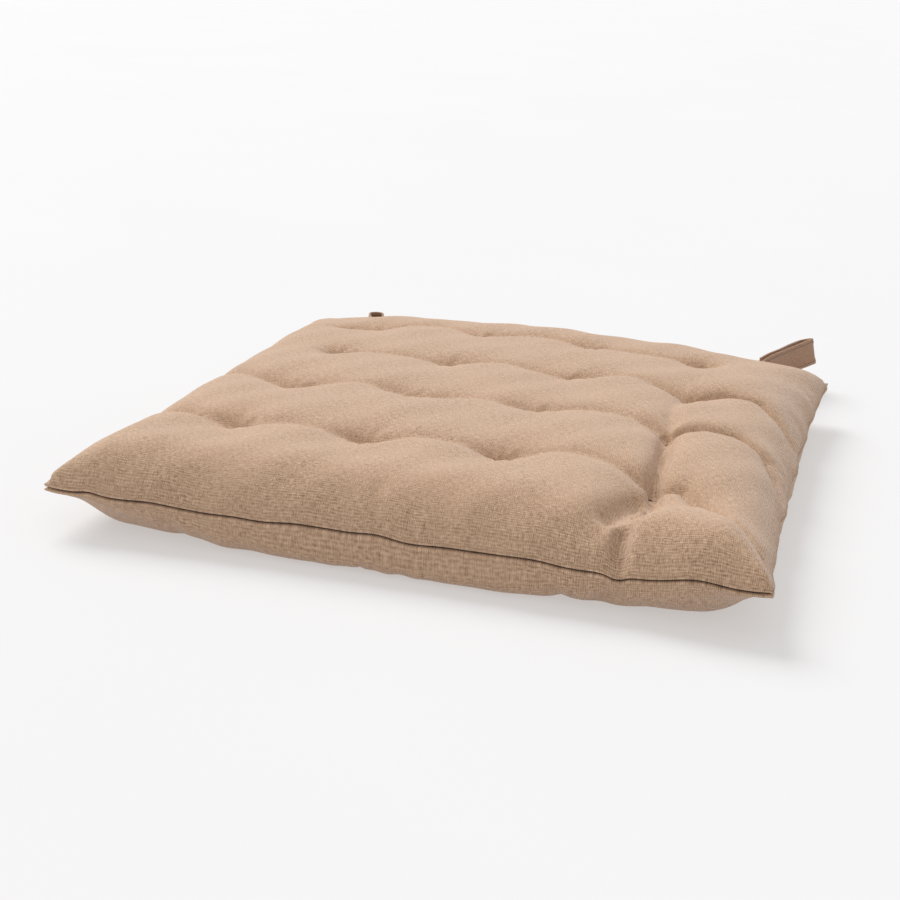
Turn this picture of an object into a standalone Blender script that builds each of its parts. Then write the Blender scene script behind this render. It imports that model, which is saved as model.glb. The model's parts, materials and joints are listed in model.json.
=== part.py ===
"""Square tufted chair pad with two closed fastening straps at its back edge.

Origin: the centre of the pad's flat underside. +Z is up, +Y points to the edge with the straps.
Two fabric panels are seamed edge to edge round two layers of wadding, sixteen thread ties pull
them together, and each strap is a fabric band turned back on itself and closed with hook tape.
"""
import math

import bmesh
import bpy
from mathutils import Matrix, Vector

# Pad, in metres
SIDE = 0.400
SEAM_HEIGHT = 0.022
CORNER_LIFT = 0.004
CROWN_RISE = 0.034
CROWN_ROUNDING = 0.018
UNDERSIDE_ROUNDING = 0.020
SIDE_PULL_IN = 0.008
FABRIC = 0.0006
CLEARANCE = 0.0003

# Seam: allowances turned inwards, with the stitched thread between them
SEAM_THREAD = 0.0010
SEAM_LINE_INSET = 0.0012
ALLOWANCE = 0.010
ALLOWANCE_FROM_CORNER = 0.030
CORNER_OPENING = 0.0007
CLOSING_SEAM = 0.180
POINT_SPACING = 0.004

# Tufts
TUFTS = 4
TUFT_PITCH = 0.080
TUFT_DEPTH_OUTER = 0.014
TUFT_DEPTH_INNER = 0.008
TUFT_LIFT = 0.009
DIMPLE_RADIUS = 0.022
UNDERSIDE_DIMPLE_RADIUS = 0.024
TUFT_RING = 0.019
TIE_HOLE = 0.0030
TIE_THICKNESS = 0.0020
KNOT_RADIUS = 0.0028
KNOT_HEIGHT = 0.0022

# Wadding
WADDING_INSET = 0.014
WADDING_GAP = 0.0005

# Straps
STRAP_FROM_CORNER = 0.060
STRAP_WIDTH = 0.020
STRAP_THICKNESS = 0.0016
STRAP_LENGTH = 0.105
STRAP_SPLAY = math.radians(22)
STRAP_ROOT_GAP = 0.0006
STRAP_TWIST_END = 0.026
STRAP_RISE_END = 0.045
STRAP_SQUARE_ROOT = 0.016
LOOP_HALF_WIDTH = 0.0065
TURN_DEPTH = 0.0045
TAPE_LENGTH = 0.025
TAPE_WIDTH = 0.015
TAPE_THICKNESS = 0.0008
TAPE_MARGIN = 0.002
RAISED_STRAP_RISE = 0.006
LYING_STRAP_GAP = 0.0012

HALF = SIDE / 2
RIM_DISTANCES = (0.0, 0.003, 0.007, WADDING_INSET, 0.026, 0.046)
SMALL_STEP = 0.0005


def material(name, colour, roughness):
    """A Principled material from an sRGB hex colour."""
    made = bpy.data.materials.new(name)
    made.use_nodes = True
    channels = []
    for start in (0, 2, 4):
        value = int(colour[start:start + 2], 16) / 255
        channels.append(value / 12.92 if value <= 0.04045 else ((value + 0.055) / 1.055) ** 2.4)
    shader = made.node_tree.nodes["Principled BSDF"]
    shader.inputs["Base Color"].default_value = (*channels, 1.0)
    shader.inputs["Roughness"].default_value = roughness
    shader.inputs["Metallic"].default_value = 0.0
    made.diffuse_color = (*channels, 1.0)
    return made


def smooth(value):
    value = min(max(value, 0.0), 1.0)
    return value * value * (3 - 2 * value)


def between(low, high, share):
    return low + (high - low) * share


def outline(a, b):
    """Plan position of the pad's point (a, b), each from -1 to 1: the sides curve in between the corners."""
    x = a * (HALF - SIDE_PULL_IN * (1 - b * b) * a ** 4)
    y = b * (HALF - SIDE_PULL_IN * (1 - a * a) * b ** 4)
    return x, y


def edge_distances(a, b):
    return HALF * (1 - abs(a)), HALF * (1 - abs(b))


def seam_height(a, b):
    return SEAM_HEIGHT + CORNER_LIFT * (a * b) ** 2


def seam_half_gap(a, b):
    """Half the gap between the panels' folded edges: it widens where the allowance is trimmed off."""
    return SEAM_THREAD / 2 + CLEARANCE + CORNER_OPENING * (a * b) ** 8


def tuft_centres():
    first = -(TUFTS - 1) / 2 * TUFT_PITCH
    return [first + index * TUFT_PITCH for index in range(TUFTS)]


def tuft_places():
    """(row, column, a, b) of each tuft: row 1 is at the front edge, column 1 on the left."""
    places = []
    for row, y in enumerate(tuft_centres(), 1):
        for column, x in enumerate(tuft_centres(), 1):
            places.append((row, column, x / HALF, y / HALF))
    return places


def tuft_depth(row, column):
    outer = row in (1, TUFTS) or column in (1, TUFTS)
    return TUFT_DEPTH_OUTER if outer else TUFT_DEPTH_INNER


def top_height(a, b):
    """Height of the upper panel's outer face."""
    crown = CROWN_RISE
    for distance in edge_distances(a, b):
        crown *= 1 - math.exp(-distance / CROWN_ROUNDING)
    dimple = 0.0
    for row, column, tuft_a, tuft_b in tuft_places():
        reach = HALF * math.hypot(a - tuft_a, b - tuft_b) / DIMPLE_RADIUS
        dimple += tuft_depth(row, column) * math.exp(-reach ** 1.3)
    return seam_height(a, b) + seam_half_gap(a, b) + max(crown - dimple, 0.0)


def bottom_height(a, b):
    """Height of the lower panel's outer face: flat on the ground but for its rounded edge and the ties."""
    spread = 1.0
    for distance in edge_distances(a, b):
        spread *= 1 - max(1 - distance / UNDERSIDE_ROUNDING, 0.0) ** 3
    pulled = 0.0
    for _, _, tuft_a, tuft_b in tuft_places():
        reach = HALF * math.hypot(a - tuft_a, b - tuft_b) / UNDERSIDE_DIMPLE_RADIUS
        pulled += TUFT_LIFT * max(1 - reach, 0.0) ** 1.5
    return (seam_height(a, b) - seam_half_gap(a, b)) * (1 - spread) + pulled * spread


def slope_factor(height, a, b):
    """How much longer a vertical line through the sheet is than its thickness."""
    step = SMALL_STEP / HALF
    rise_a = (height(a + step, b) - height(a - step, b)) / (2 * SMALL_STEP)
    rise_b = (height(a, b + step) - height(a, b - step)) / (2 * SMALL_STEP)
    return math.sqrt(1 + rise_a ** 2 + rise_b ** 2)


def wadding_top(a, b):
    return top_height(a, b) - (FABRIC + WADDING_GAP) * slope_factor(top_height, a, b)


def wadding_bottom(a, b):
    return bottom_height(a, b) + (FABRIC + WADDING_GAP) * slope_factor(bottom_height, a, b)


def layer_plane(a, b):
    """Where the two wadding layers meet: flat, but following the seam at the layers' rim."""
    if max(abs(a), abs(b)) * HALF < HALF - WADDING_INSET - SMALL_STEP:
        return SEAM_HEIGHT
    return (wadding_top(a, b) + wadding_bottom(a, b)) / 2


def grid_lines():
    """Places of the sheet's grid lines, as shares of the half side: one cell spans each tie's hole."""
    lines = set()
    for centre in tuft_centres():
        for offset in (TIE_HOLE / 2, TUFT_RING):
            lines |= {centre - offset, centre + offset}
    outermost = max(lines)
    for distance in RIM_DISTANCES:
        if HALF - distance > outermost + SMALL_STEP:
            lines |= {HALF - distance, distance - HALF}
    return sorted(line / HALF for line in lines)


def hole_at(a, b):
    cell = TIE_HOLE / 2 / HALF
    return any(abs(a - x) < cell and abs(b - y) < cell for _, _, x, y in tuft_places())


def sheet(lines, height):
    """An open grid sheet at the given height, facing up, without its cells over the ties' holes."""
    mesh = bmesh.new()
    layer_a = mesh.verts.layers.float.new("a")
    layer_b = mesh.verts.layers.float.new("b")
    grid = {}
    for a in lines:
        for b in lines:
            point = mesh.verts.new((*outline(a, b), height(a, b)))
            point[layer_a] = a
            point[layer_b] = b
            grid[a, b] = point
    for a, next_a in zip(lines, lines[1:]):
        for b, next_b in zip(lines, lines[1:]):
            if hole_at((a + next_a) / 2, (b + next_b) / 2):
                continue
            mesh.faces.new((grid[a, b], grid[next_a, b], grid[next_a, next_b], grid[a, next_b]))
    return mesh, grid


def add_allowance(mesh, grid, lines, fold_height):
    """Turns the seam allowance in under the sheet's edge, on each side, away from the corners."""
    inner = 1 - ALLOWANCE / HALF
    limit = 1 - ALLOWANCE_FROM_CORNER / HALF
    along = [line for line in lines if abs(line) < limit]
    for side in (-1, 1):
        for across in (False, True):
            strip = []
            for line in along:
                edge = (line, side) if across else (side, line)
                turned = (line, side * inner) if across else (side * inner, line)
                point = mesh.verts.new((*outline(*turned), fold_height(*edge)))
                strip.append((grid[edge[0], edge[1]], point))
            for (edge, turned), (next_edge, next_turned) in zip(strip, strip[1:]):
                loop = [edge, next_edge, next_turned, turned]
                shared = mesh.edges.get((edge, next_edge))
                first = shared.link_loops[0].vert
                mesh.faces.new(loop if first == next_edge else reversed(loop))


def face_outwards(mesh):
    mesh.normal_update()
    bmesh.ops.recalc_face_normals(mesh, faces=mesh.faces)


def finish_mesh(name, mesh, look, collection):
    data = bpy.data.meshes.new(name)
    mesh.to_mesh(data)
    mesh.free()
    made = bpy.data.objects.new(name, data)
    data.materials.append(look)
    collection.objects.link(made)
    return made


def make_panel(name, height, fold_side, look, collection):
    """A fabric panel as a shell, with its outer face at the given height."""
    lines = grid_lines()
    mesh, grid = sheet(lines, height)

    def fold_height(a, b):
        return seam_height(a, b) + fold_side * seam_half_gap(a, b)

    add_allowance(mesh, grid, lines, fold_height)
    if fold_side < 0:
        bmesh.ops.reverse_faces(mesh, faces=mesh.faces)
    panel = finish_mesh(name, mesh, look, collection)
    shell = panel.modifiers.new("Fabric thickness", "SOLIDIFY")
    shell.thickness = FABRIC
    shell.offset = -1.0
    shell.use_even_offset = True
    return panel


def make_wadding(name, lower, upper, look, collection):
    """A layer of wadding between two heights, with a hole for each tie."""
    reach = 1 - (WADDING_INSET - SMALL_STEP) / HALF
    lines = [line for line in grid_lines() if abs(line) < reach]
    mesh, _ = sheet(lines, lower)
    made = bmesh.ops.extrude_face_region(mesh, geom=mesh.faces[:])
    layer_a = mesh.verts.layers.float["a"]
    layer_b = mesh.verts.layers.float["b"]
    for item in made["geom"]:
        if isinstance(item, bmesh.types.BMVert):
            item.co.z = upper(item[layer_a], item[layer_b])
    face_outwards(mesh)
    return finish_mesh(name, mesh, look, collection)


def make_tie(row, column, a, b, look, collection):
    """The thread of one tuft: a column through the pad with a knot on each face, turned round its axis."""
    spread = (KNOT_RADIUS + SMALL_STEP) / HALF
    around = [(a - spread, b), (a + spread, b), (a, b - spread), (a, b + spread)]
    low = min(bottom_height(*place) for place in around) - CLEARANCE
    high = max(top_height(*place) for place in around) + CLEARANCE
    radius = TIE_THICKNESS / 2
    profile = (
        (0.0, high + KNOT_HEIGHT),
        (KNOT_RADIUS * 0.6, high + KNOT_HEIGHT * 0.8),
        (KNOT_RADIUS, high + KNOT_HEIGHT * 0.4),
        (KNOT_RADIUS * 0.8, high),
        (radius, high),
        (radius, low),
        (KNOT_RADIUS * 0.8, low),
        (KNOT_RADIUS, low - KNOT_HEIGHT * 0.4),
        (KNOT_RADIUS * 0.6, low - KNOT_HEIGHT * 0.8),
        (0.0, low - KNOT_HEIGHT),
    )
    mesh = bmesh.new()
    points = [mesh.verts.new((x, 0.0, z)) for x, z in profile]
    for start, end in zip(points, points[1:]):
        mesh.edges.new((start, end))
    tie = finish_mesh(f"tuft_tie_r{row}_c{column}", mesh, look, collection)
    tie.location = (*outline(a, b), 0.0)
    turn = tie.modifiers.new("Turn", "SCREW")
    turn.axis = "Z"
    turn.steps = 8
    turn.render_steps = 8
    turn.use_merge_vertices = True
    turn.merge_threshold = 0.00005
    return tie


def seam_routes():
    """Points of the machine seam round the pad, and of the stretch of the back edge closed after filling."""
    lines = [line * (1 - SEAM_LINE_INSET / HALF) for line in grid_lines()]
    end = lines[-1]
    close = CLOSING_SEAM / 2 / HALF
    spacing = POINT_SPACING / HALF
    closing = [(a, end) for a in lines if abs(a) < close - spacing]
    closing = [(-close, end), *closing, (close, end)]
    main = [(close, end)]
    main += [(a, end) for a in lines if a > close + spacing]
    main += [(end, b) for b in reversed(lines[:-1])]
    main += [(a, -end) for a in reversed(lines[:-1])]
    main += [(-end, b) for b in lines[1:]]
    main += [(a, end) for a in lines[1:] if a < -close - spacing]
    main += [(-close, end)]
    return main, closing


def make_thread(name, route, look, collection):
    curve = bpy.data.curves.new(name, "CURVE")
    curve.dimensions = "3D"
    curve.bevel_depth = SEAM_THREAD / 2
    curve.bevel_resolution = 1
    curve.use_fill_caps = True
    spline = curve.splines.new("POLY")
    spline.points.add(len(route) - 1)
    for point, (a, b) in zip(spline.points, route):
        point.co = (*outline(a, b), seam_height(a, b), 1.0)
    curve.materials.append(look)
    made = bpy.data.objects.new(name, curve)
    collection.objects.link(made)
    return made


def trim_ends(route, distance):
    """The route with each end pulled back by the distance, along its own first and last stretch."""
    trimmed = list(route)
    for end, neighbour in ((0, 1), (-1, -2)):
        a, b = route[end]
        trimmed[end] = (a + math.copysign(distance / HALF, route[neighbour][0] - a), b)
    return trimmed


def make_seam_threads(look, collection):
    main, closing = seam_routes()
    make_thread("edge_seam_thread", trim_ends(main, CLEARANCE), look, collection)
    make_thread("closing_seam_thread", closing, look, collection)


class Strap:
    """The places of one strap: side is 1 for the right strap and -1 for the left one."""

    def __init__(self, side, tip_height):
        self.side = side
        self.tip_height = tip_height
        a = 1 - STRAP_FROM_CORNER / HALF
        step = SMALL_STEP / HALF
        here = Vector((*outline(a, 1), seam_height(a, 1)))
        along = Vector(outline(a + step, 1)) - Vector(outline(a - step, 1))
        self.seam_along = along.to_3d().normalized()
        self.seam_out = Vector((-self.seam_along.y, self.seam_along.x, 0.0))
        self.root = here + self.seam_out * STRAP_ROOT_GAP
        self.forward = Vector((math.sin(STRAP_SPLAY), math.cos(STRAP_SPLAY), 0.0))
        self.outward = Vector((self.forward.y, -self.forward.x, 0.0))

    def mirrored(self, point):
        return Vector((point.x * self.side, point.y, point.z))

    def place(self, length, offset):
        """The point that far along the strap and that far to its outer side."""
        point = self.root + self.forward * length + self.outward * offset
        share = smooth(length / STRAP_RISE_END)
        point.z = between(self.root.z, self.tip_height, share)
        return point

    def seam_pivot(self):
        return self.mirrored(self.root + self.seam_out * (STRAP_THICKNESS / 2))

    def seam_axis(self):
        return Vector((self.seam_along.x, self.seam_along.y * self.side, 0.0))

    def turn_pivot(self):
        return self.mirrored(self.place(STRAP_LENGTH, 0.0))


def strap_stations(hand):
    """(length, offset, heading) along one run of the loop, from its start to the turn at the tip."""
    tape_offset = CLEARANCE * 1.5 + TAPE_THICKNESS + STRAP_THICKNESS / 2
    tape_start = STRAP_TWIST_END + TAPE_MARGIN
    tape_end = tape_start + TAPE_LENGTH
    turn_centre = STRAP_LENGTH - STRAP_THICKNESS / 2 - TURN_DEPTH
    stations = []
    if hand > 0:
        for share in (0.0, 0.15, 0.32, 0.5, 0.68, 0.85):
            stations.append((STRAP_TWIST_END * share, tape_offset * smooth(share), 0.0))
    stations.append((STRAP_TWIST_END, tape_offset * hand, 0.0))
    stations.append((tape_end + TAPE_MARGIN, tape_offset * hand, 0.0))
    for share in (0.25, 0.5, 0.75, 1.0):
        length = between(tape_end + TAPE_MARGIN, turn_centre, share)
        stations.append((length, hand * between(tape_offset, LOOP_HALF_WIDTH, smooth(share)), 0.0))
    for step in (1, 2, 3, 4):
        angle = math.pi / 2 * step / 4
        length = turn_centre + TURN_DEPTH * math.sin(angle)
        offset = between(CLEARANCE / 2, LOOP_HALF_WIDTH, math.cos(angle))
        stations.append((length, hand * offset, angle))
    return stations


def make_run(strap, name, hand, look, collection):
    """One run of the band, lofted from rectangles: flat where it is sewn in, on its edge at the loop."""
    mesh = bmesh.new()
    rings = []
    for length, offset, heading in strap_stations(hand):
        centre = strap.place(length, offset)
        tangent = strap.forward * math.cos(heading) - strap.outward * (hand * math.sin(heading))
        level = Vector((tangent.y, -tangent.x, 0.0))
        if hand > 0:
            level = strap.seam_along.lerp(level, smooth(length / STRAP_SQUARE_ROOT)).normalized()
        stand = math.pi / 2 * smooth(length / STRAP_TWIST_END)
        upright = Vector((0.0, 0.0, 1.0))
        width = level * math.cos(stand) + upright * math.sin(stand)
        depth = upright * math.cos(stand) - level * math.sin(stand)
        ring = []
        for w, d in ((-1, -1), (1, -1), (1, 1), (-1, 1)):
            corner = centre + width * (w * STRAP_WIDTH / 2) + depth * (d * STRAP_THICKNESS / 2)
            ring.append(mesh.verts.new(strap.mirrored(corner)))
        rings.append(ring)
    for ring, next_ring in zip(rings, rings[1:]):
        for k in range(4):
            mesh.faces.new((ring[k], ring[k - 1], next_ring[k - 1], next_ring[k]))
    mesh.faces.new(rings[0])
    mesh.faces.new(reversed(rings[-1]))
    face_outwards(mesh)
    return finish_mesh(name, mesh, look, collection)


def make_tape(strap, name, hand, look, collection):
    """A strip of fastening tape on the inner face of one run."""
    start = strap.place(STRAP_TWIST_END + TAPE_MARGIN, 0.0)
    end = strap.place(STRAP_TWIST_END + TAPE_MARGIN + TAPE_LENGTH, 0.0)
    middle = (start + end) / 2 + strap.outward * (hand * (CLEARANCE + TAPE_THICKNESS) / 2)
    mesh = bmesh.new()
    bmesh.ops.create_cube(mesh, size=1.0)
    bmesh.ops.scale(mesh, verts=mesh.verts, vec=(TAPE_THICKNESS, TAPE_LENGTH, TAPE_WIDTH))
    bmesh.ops.rotate(mesh, verts=mesh.verts, matrix=Matrix.Rotation(-STRAP_SPLAY, 3, "Z"))
    bmesh.ops.translate(mesh, verts=mesh.verts, vec=middle)
    for point in mesh.verts:
        point.co = strap.mirrored(point.co)
    face_outwards(mesh)
    return finish_mesh(name, mesh, look, collection)


def hinge(name, pivot, parent, collection):
    """An empty on a joint's axis, for the pieces that turn about it."""
    made = bpy.data.objects.new(name, None)
    made.empty_display_size = 0.01
    made.parent = parent
    made.location = pivot - parent.location if parent else pivot
    collection.objects.link(made)
    return made


def hang(piece, pivot, parent):
    """Moves a piece's origin to its joint's axis and hangs it on the joint's empty."""
    piece.data.transform(Matrix.Translation(-pivot))
    piece.parent = parent


def make_strap(word, side, tip_height, looks, collection):
    strap = Strap(side, tip_height)
    seam_pivot = strap.seam_pivot()
    turn_pivot = strap.turn_pivot()
    seam_hinge = hinge(f"strap_{word}_seam_hinge", seam_pivot, None, collection)
    turn_hinge = hinge(f"strap_{word}_turn_hinge", turn_pivot, seam_hinge, collection)
    sewn = make_run(strap, f"strap_{word}_sewn_run", 1, looks["band"], collection)
    loop_tape = make_tape(strap, f"strap_{word}_loop_tape", 1, looks["tape"], collection)
    free = make_run(strap, f"strap_{word}_free_run", -1, looks["band"], collection)
    hook_tape = make_tape(strap, f"strap_{word}_hook_tape", -1, looks["tape"], collection)
    for piece in (sewn, loop_tape):
        hang(piece, seam_pivot, seam_hinge)
    for piece in (free, hook_tape):
        hang(piece, turn_pivot, turn_hinge)


def main():
    for old in list(bpy.data.objects):
        bpy.data.objects.remove(old, do_unlink=True)
    parts = bpy.data.collections.new("seat_cushion")
    bpy.context.scene.collection.children.link(parts)
    looks = {
        "cover": material("linen_cover", "B79C80", 0.9),
        "wadding": material("polyester_wadding", "F1EFEA", 0.95),
        "thread": material("sewing_thread", "6B4F3F", 0.8),
        "band": material("linen_band", "A58468", 0.9),
        "tape": material("fastening_tape", "8A7460", 0.95),
    }
    make_panel("top_panel", top_height, 1, looks["cover"], parts)
    make_panel("bottom_panel", bottom_height, -1, looks["cover"], parts)

    def under_plane(a, b):
        return layer_plane(a, b) - CLEARANCE / 2

    def over_plane(a, b):
        return layer_plane(a, b) + CLEARANCE / 2

    make_wadding("wadding_upper", over_plane, wadding_top, looks["wadding"], parts)
    make_wadding("wadding_lower", wadding_bottom, under_plane, looks["wadding"], parts)
    make_seam_threads(looks["thread"], parts)
    for row, column, a, b in tuft_places():
        make_tie(row, column, a, b, looks["thread"], parts)
    raised_tip = SEAM_HEIGHT + RAISED_STRAP_RISE
    lying_tip = STRAP_WIDTH / 2 + LYING_STRAP_GAP
    make_strap("right", 1, raised_tip, looks, parts)
    make_strap("left", -1, lying_tip, looks, parts)


main()
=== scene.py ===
"""Looks of the tufted seat cushion: linen cover, wadding, seam, tuft ties and fastening straps.

The cover is two flat-cut panels blown up by the cloth solver while their seam and the sixteen
ties hold them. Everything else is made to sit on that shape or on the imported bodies.
"""
import json
import math

import bmesh
import bpy
import numpy as np
from mathutils import Matrix, Vector


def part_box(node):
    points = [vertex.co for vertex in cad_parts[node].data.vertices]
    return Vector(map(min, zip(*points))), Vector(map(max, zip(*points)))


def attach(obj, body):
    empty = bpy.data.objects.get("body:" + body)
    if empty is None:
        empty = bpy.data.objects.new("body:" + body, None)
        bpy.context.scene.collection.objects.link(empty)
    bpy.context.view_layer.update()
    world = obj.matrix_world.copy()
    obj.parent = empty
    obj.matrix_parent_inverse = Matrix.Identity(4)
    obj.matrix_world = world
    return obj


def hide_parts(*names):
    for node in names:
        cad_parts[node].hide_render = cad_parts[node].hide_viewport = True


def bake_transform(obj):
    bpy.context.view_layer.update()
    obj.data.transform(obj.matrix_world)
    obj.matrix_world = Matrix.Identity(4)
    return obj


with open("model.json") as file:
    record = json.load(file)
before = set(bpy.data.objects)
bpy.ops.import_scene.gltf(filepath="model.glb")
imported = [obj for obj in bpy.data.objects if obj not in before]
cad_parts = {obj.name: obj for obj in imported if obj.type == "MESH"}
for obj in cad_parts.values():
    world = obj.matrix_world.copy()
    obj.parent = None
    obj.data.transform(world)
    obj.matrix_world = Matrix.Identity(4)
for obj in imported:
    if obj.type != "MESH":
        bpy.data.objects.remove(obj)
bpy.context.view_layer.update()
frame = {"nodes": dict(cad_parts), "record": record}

# Cushion cover, in metres
CELLS = 100
RIGHT_PULL = 0.0070
LEFT_PULL = 0.0045
FRONT_PULL = 0.0070
BACK_PULL = 0.0060
CORNER_LIFT = 0.0040
CROWN = 0.0330
CROWN_ROUNDING = 0.017
DOME = 0.0040
UNDERSIDE_ROUNDING = 0.012
UNDERSIDE_CORNER_ROUNDING = 0.075
CORNER_FULLNESS = 0.003
FRONT_FULLNESS = 0.003
CORNER_BLUNTING = 0.0012
SIDE_BELLY_TOP = 0.0012
SIDE_BELLY_UNDER = 0.0028
SIDE_BELLY_IN = 0.004
SIDE_BELLY_SPREAD = 0.006
FLOOR_SOFTNESS = 0.0006
CUT_EXTRA_ACROSS = 1.050
CUT_EXTRA_ALONG = 1.070
UNDERSIDE_EXTRA = 1.040
SWELL_FRAMES = 26
PRESSURE = 4.5
FABRIC = 0.0006

# Seam
SEAM_LIPS = ((0.0008, 0.0017), (0.0005, 0.0008), (-0.0008, 0.0005), (-0.0050, 0.0005))
STRAP_ROOT_OPENING = 0.0007
SEAM_THREAD_INSET = 0.0022
CLOSING_SEAM_HALF = 0.090

# Tufts
TUFT_HEIGHT = 0.0475
TUFT_HEIGHT_INNER = 0.0545
TUFT_LIFT = 0.0070
DIMPLE_RADIUS = 0.015
UNDERSIDE_DIMPLE_RADIUS = 0.016
OUTER_TIE = 0.120
INNER_TIE = 0.040
TIE_STAND = 0.0002
VALLEY_DEPTH = 0.0042
VALLEY_WIDTH = 0.0080

# Share of the swollen shape that is evened out again towards the shape before it swelled
EVENNESS = 0.60

# Relief pressed into the swollen panels, and how far in from the seam it reaches its full height
FOLD_REDRAWN = 0.30
FOLD_SHARPENED = 0.40
RIDGE_HEIGHT = 0.0014
TIE_PUCKERS_TOP = 0.00045
TIE_PUCKERS_UNDER = 0.0006
EDGE_PUCKERS_TOP = 0.00040
EDGE_PUCKERS_UNDER = 0.00070
UNEVEN_TOP = 0.0006
UNEVEN_UNDER = 0.0005
UNEVEN_WADDING = 0.0006
RELIEF_FULL = 0.006

# Wadding
WADDING_UNDER_TOP = 0.0035
WADDING_OVER_BOTTOM = 0.0030
WADDING_LEAST = 0.002
GAP_ABOVE_MIDDLE = 0.0002
GAP_BELOW_MIDDLE = 0.0012

# Straps
BAND_WIDTH = 0.020
BAND_OFFSET = 0.00205
LOOP_HALF_WIDTH = 0.0055
TWIST_END = 0.026
RISE_END = 0.045
LOOP_START = 0.053
TURN_CENTRE = 0.0997
TURN_DEPTH = 0.0045
FREE_END = 0.027
LOOP_LEAN = math.radians(14)
LOOP_SKEW = 0.08
HEM_STITCH_LINE = 0.0075
HEM_STITCH_STAND = 0.00088
TAIL_DEPTH = 0.008
TAIL_INSET = 0.0045

# The band's root: how far it reaches into the seam, and how soon it has left the seam's direction
ROOT_HIDDEN = 0.0008
FLAT_ROOT = 0.016

# Stations along the twist, the sewn run, the loop and the turn
TWIST_STATIONS = 14
SEWN_STATIONS = 12
LOOP_STATIONS = 14
TURN_STATIONS = 12
ROOT_STATIONS = TWIST_STATIONS + SEWN_STATIONS

low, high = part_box("top_panel")
HALF = (high.x - low.x) / 2
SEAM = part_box("closing_seam_thread")[0].z + 0.0021


def smooth(value):
    value = np.clip(value, 0.0, 1.0)
    return value * value * (3 - 2 * value)


def bump(value, centre, width):
    return np.exp(-((value - centre) / width) ** 2)


# Shape of the pad

def seam_plan(a, b):
    """Plan place of the pad's point (a, b), both from -1 to 1: each side curves in between its corners."""
    pull_x = np.where(a > 0, RIGHT_PULL, LEFT_PULL) * (1 - b ** 4)
    pull_y = np.where(b > 0, BACK_PULL, FRONT_PULL) * (1 - a ** 2)
    x = a * (HALF - pull_x * a ** 4)
    y = b * (HALF - pull_y * b ** 4)
    blunt = CORNER_BLUNTING * abs(a * b) ** 36
    side_wave = np.sin(y * 93 + 1.1) + 0.6 * np.sin(y * 161 + 0.3)
    end_wave = np.sin(x * 149 + 0.7) + 0.6 * np.sin(x * 227 + 2.0)
    side_swing = np.where(a > 0, 0.0007, 0.0004)
    x = x - np.sign(a) * blunt + side_swing * side_wave * a ** 8 * (1 - b ** 6)
    notch = bump(x, 0.1217, 0.005) * bump(b, -1.0, 0.06)
    y = y - np.sign(b) * blunt + 0.0004 * end_wave * b ** 8 * (1 - a ** 6)
    return x, y + 0.0020 * notch


def seam_level(a, b):
    """Height of the seam: it waves a little, lifts at the corners and is nipped once at the front."""
    x = a * HALF
    y = b * HALF
    level = SEAM + CORNER_LIFT * (a * b) ** 6
    level = level + 0.0007 * np.sin(x * 61 + y * 47 + 0.6) + 0.0004 * np.sin(x * 150 - y * 131 + 2.0)
    front = bump(b, -1.0, 0.25)
    level = level + front * 0.0026 * bump(x, 0.163, 0.020)
    level = level - front * 0.0030 * bump(x, 0.1217, 0.005)
    level = level + front * 0.0012 * bump(x, -0.173, 0.006)
    level = level + front * 0.0010 * bump(x, -0.008, 0.010)
    return level


def tuft_marks():
    """(row, column, x, y, height on top, height below) of each tie.

    Row 1 is at the front, and column 1 is on the left.
    """
    marks = []
    for row in range(1, 5):
        for column in range(1, 5):
            tie_low, tie_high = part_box(f"tuft_tie_r{row}_c{column}")
            middle = (tie_low + tie_high) / 2
            inner = column in (2, 3)
            height = TUFT_HEIGHT_INNER if inner else TUFT_HEIGHT
            if inner and row == 1:
                height -= 0.0050
            if column == 4 and row == 1:
                height -= 0.0030
            if column == 1 and row == 3:
                height += 0.0040
            marks.append((row, column, middle.x, middle.y, height, TUFT_LIFT))
    return marks


def tuft_index(place):
    return int(round((place / HALF + 1) / 2 * CELLS))


def path_distance(x, y, path):
    """Distance from each point to the nearest place on a path of straight runs."""
    nearest = np.full(x.shape, 1.0)
    for (x0, y0), (x1, y1) in zip(path, path[1:]):
        run_x = x1 - x0
        run_y = y1 - y0
        share = ((x - x0) * run_x + (y - y0) * run_y) / (run_x ** 2 + run_y ** 2)
        share = np.clip(share, 0.0, 1.0)
        gap = np.hypot(x - x0 - share * run_x, y - y0 - share * run_y)
        nearest = np.minimum(nearest, gap)
    return nearest


def bowed_path(start, end, bow):
    """A path between two ties that bows towards the back edge in between."""
    path = []
    for step in range(9):
        share = step / 8
        x = start[0] + (end[0] - start[0]) * share
        y = start[1] + (end[1] - start[1]) * share
        path.append((x, y + bow * math.sin(math.pi * share)))
    return path


def crease(x, y, path, depth, width):
    """A fold line pressed into the cover: sharp at its bottom, with sides that fade out."""
    distance = path_distance(x, y, path)
    return depth * np.exp(-(distance / width) ** 1.2)


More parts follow.
